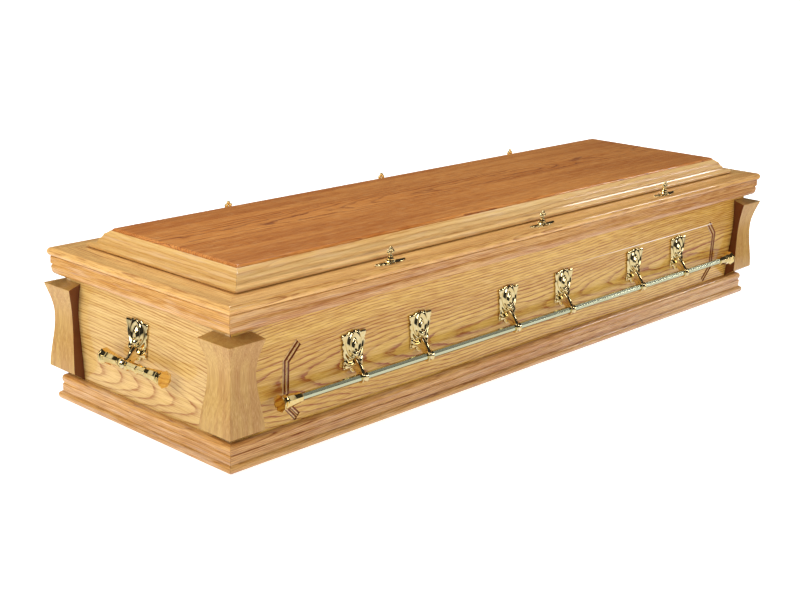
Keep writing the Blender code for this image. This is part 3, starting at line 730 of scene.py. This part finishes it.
def arm_rings(drop, off):
    """The arm as rings: oval sections from the plate to the middle of the bar's collar."""
    path = ((0.002, -0.029, 0.0085, 0.0150), (0.009, -0.030, 0.0062, 0.0150),
            (0.017, -0.036, 0.0048, 0.0128), (0.025, -0.045, 0.0046, 0.0108),
            (off - 0.001, 0.002 - drop, 0.0060, 0.0098))
    rings = []
    for i, (out, up, wide, deep) in enumerate(path):
        before, after = path[max(i - 1, 0)], path[min(i + 1, len(path) - 1)]
        along = Vector((after[0] - before[0], after[1] - before[1])).normalized()
        ring = []
        for k in range(20):
            angle = 2 * math.pi * k / 20
            side, rise = math.cos(angle), math.sin(angle)
            side = math.copysign(abs(side) ** 0.6, side) * wide
            rise = math.copysign(abs(rise) ** 0.6, rise) * deep
            ring.append((side, -(out - along.y * rise), up + along.x * rise))
        rings.append(ring)
    return rings


def bracket_template(drop, off):
    """One bracket at the origin, its back on Y = 0 and its face to -Y."""
    bm = bmesh.new()
    hub = bmesh.ops.poke(bm, faces=[grown(bm, shell_rings())])["verts"][0]
    hub.co = (0, -HUB_OUT, HUB_Z / 1000)
    grown(bm, arm_rings(drop, off))
    collar = ((-0.0085, 0.0100), (-0.0085, 0.0116), (-0.0076, 0.0125), (-0.0058, 0.0122),
              (-0.0048, 0.0112), (0.0048, 0.0112), (0.0058, 0.0122), (0.0076, 0.0125),
              (0.0085, 0.0116), (0.0085, 0.0100))
    grown(bm, turned("X", collar, (0, -off, -drop), 24))
    mesh = bpy.data.meshes.new("bracket_pattern")
    bmesh.ops.recalc_face_normals(bm, faces=bm.faces)
    bm.to_mesh(mesh)
    bm.free()
    return mesh


def placed(pattern, where, turn):
    """A bmesh of the pattern, turned about Z and moved to its place."""
    bm = bmesh.new()
    bm.from_mesh(pattern)
    to = Matrix.Translation(where) @ Matrix.Rotation(turn, 4, "Z")
    bmesh.ops.transform(bm, matrix=to, verts=bm.verts)
    return bm


side_pattern = bracket_template(BRACKET_DROP, BAR_OFF)
end_pattern = bracket_template(END_BRACKET_DROP, END_BAR_OFF)
for word, side in (("left", -1), ("right", 1)):
    for i, x in enumerate(BRACKET_XS):
        bm = placed(side_pattern, (x, side * PANEL_Y, BAR_Z + BRACKET_DROP),
                    0 if side < 0 else math.pi)
        label = f"bracket_{word}_{i + 1}"
        piece("shell_" + label, bm, cast_gilt, [label], eased=0, sharp=0.9)
for word, side in (("head", 1), ("foot", -1)):
    bm = placed(end_pattern,
                (side * PANEL_X, -side * END_BRACKET_SIDE, END_BAR_Z + END_BRACKET_DROP),
                side * math.pi / 2)
    label = "end_bracket_" + word
    piece("shell_" + label, bm, cast_gilt, [label], eased=0, sharp=0.9)


# Thumbscrews. Three along each side hold the lid down. Each stands on a boat-shaped cast
# plate with a bossed collar, and its head is three balls round an eye.
PLATE_LONG, PLATE_WIDE, COLLAR_TALL = 0.050, 0.011, 0.013
HEAD_Z, BALL_RADIUS, BALL_OUT, HEAD_THICK = 0.0245, 0.0056, 0.0064, 0.0056
PLATE_STEPS, LOBES_FROM, LOBE_HIGH = 44, -0.12, 0.0009


def boat_half(along):
    """The plate's half width at -1 to 1 along it: lobed behind the collar, a leaf before it."""
    lobes = 0
    if along < LOBES_FROM:
        lobes = 0.16 * abs(math.sin(4.5 * math.pi * along)) - 0.08
    return PLATE_WIDE * max(0.02, (1 - along * along)) ** 0.72 * (1 + lobes)


def boat_rings():
    """Rings of (along, across, up) in metres from the plate's foot to its raised middle."""
    rings = []
    for share, base in ((1, 0.0003), (1, 0.0012), (0.93, 0.0019), (0.78, 0.0024),
                        (0.55, 0.0027), (0.30, 0.0032), (0.08, 0.0036)):
        ring = []
        for side in (-1, 1):
            for i in range(PLATE_STEPS):
                along = side * (2 * (i + 0.5) / PLATE_STEPS - 1)
                lift = 0
                if along < LOBES_FROM and 0.2 < share < 1:
                    lift = LOBE_HIGH * share * abs(math.sin(4.5 * math.pi * along))
                ring.append((along * PLATE_LONG * (0.93 + 0.07 * share),
                             side * boat_half(along) * share, base + lift))
        rings.append(ring)
    return rings


bm = bmesh.new()
grown(bm, boat_rings())
collar = ((0.0012, 0.0110), (0.0016, 0.0122), (0.0026, 0.0126), (0.0036, 0.0120),
          (0.0044, 0.0100), (0.0056, 0.0086), (0.0072, 0.0074), (0.0086, 0.0078),
          (0.0098, 0.0080), (0.0108, 0.0072), (0.0120, 0.0062), (COLLAR_TALL, 0.0054))
grown(bm, turned("Z", collar, (0, 0, 0), 32, 0))
for k in range(12):
    turn = 2 * math.pi * k / 12
    bead = Matrix.Translation((0.0110 * math.cos(turn), 0.0100 * math.sin(turn), 0.0038))
    bmesh.ops.create_uvsphere(bm, u_segments=10, v_segments=6, radius=0.0018, matrix=bead)
plate_pattern = bpy.data.meshes.new("screw_plate_pattern")
bmesh.ops.recalc_face_normals(bm, faces=bm.faces)
bm.to_mesh(plate_pattern)
bm.free()

bm = bmesh.new()
neck = ((COLLAR_TALL + 0.0002, 0.0044), (COLLAR_TALL + 0.0012, 0.0055),
        (COLLAR_TALL + 0.0024, 0.0057), (COLLAR_TALL + 0.0034, 0.0050),
        (COLLAR_TALL + 0.0044, 0.0033), (COLLAR_TALL + 0.0062, 0.0028), (HEAD_Z - 0.0036, 0.0032))
grown(bm, turned("Z", neck, (0, 0, 0), 24, 0))
for turn in (0, 90, 180):
    ball = Matrix.Translation((BALL_OUT * math.cos(math.radians(turn)), 0,
                               HEAD_Z + BALL_OUT * math.sin(math.radians(turn))))
    ball = ball @ Matrix.Diagonal((1, HEAD_THICK / 2 / BALL_RADIUS, 1, 1))
    bmesh.ops.create_uvsphere(bm, u_segments=20, v_segments=12, radius=BALL_RADIUS, matrix=ball)
ring = bmesh.ops.create_circle(bm, segments=12, radius=0.0016,
                               matrix=Matrix.Translation((0.0040, 0, HEAD_Z)))["verts"]
edges = list({edge for corner in ring for edge in corner.link_edges})
bmesh.ops.spin(bm, geom=ring + edges, cent=(0, 0, HEAD_Z), axis=(0, 1, 0), steps=24,
               angle=2 * math.pi, use_merge=True)
screw_pattern = bpy.data.meshes.new("thumbscrew_pattern")
bmesh.ops.recalc_face_normals(bm, faces=bm.faces)
bm.to_mesh(screw_pattern)
bm.free()

screw_gilt = gilding("thumbscrew_gilt", "F6EBBE", "DFB562", 0.07, 0.0002, 0.006)
for word, side in (("left", -1), ("right", 1)):
    for i, x in enumerate(SCREW_XS[word]):
        spot, turn = (x, side * SCREW_Y, LID_TOP), 0 if side < 0 else math.pi
        label = f"{word}_{i + 1}"
        piece("cast_screw_plate_" + label, placed(plate_pattern, spot, turn), screw_gilt,
              ["screw_plate_" + label], eased=0, sharp=0.8)
        piece("gilt_thumbscrew_" + label, placed(screw_pattern, spot, turn), screw_gilt,
              ["thumbscrew_" + label], eased=0, sharp=0.8)


low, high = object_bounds()
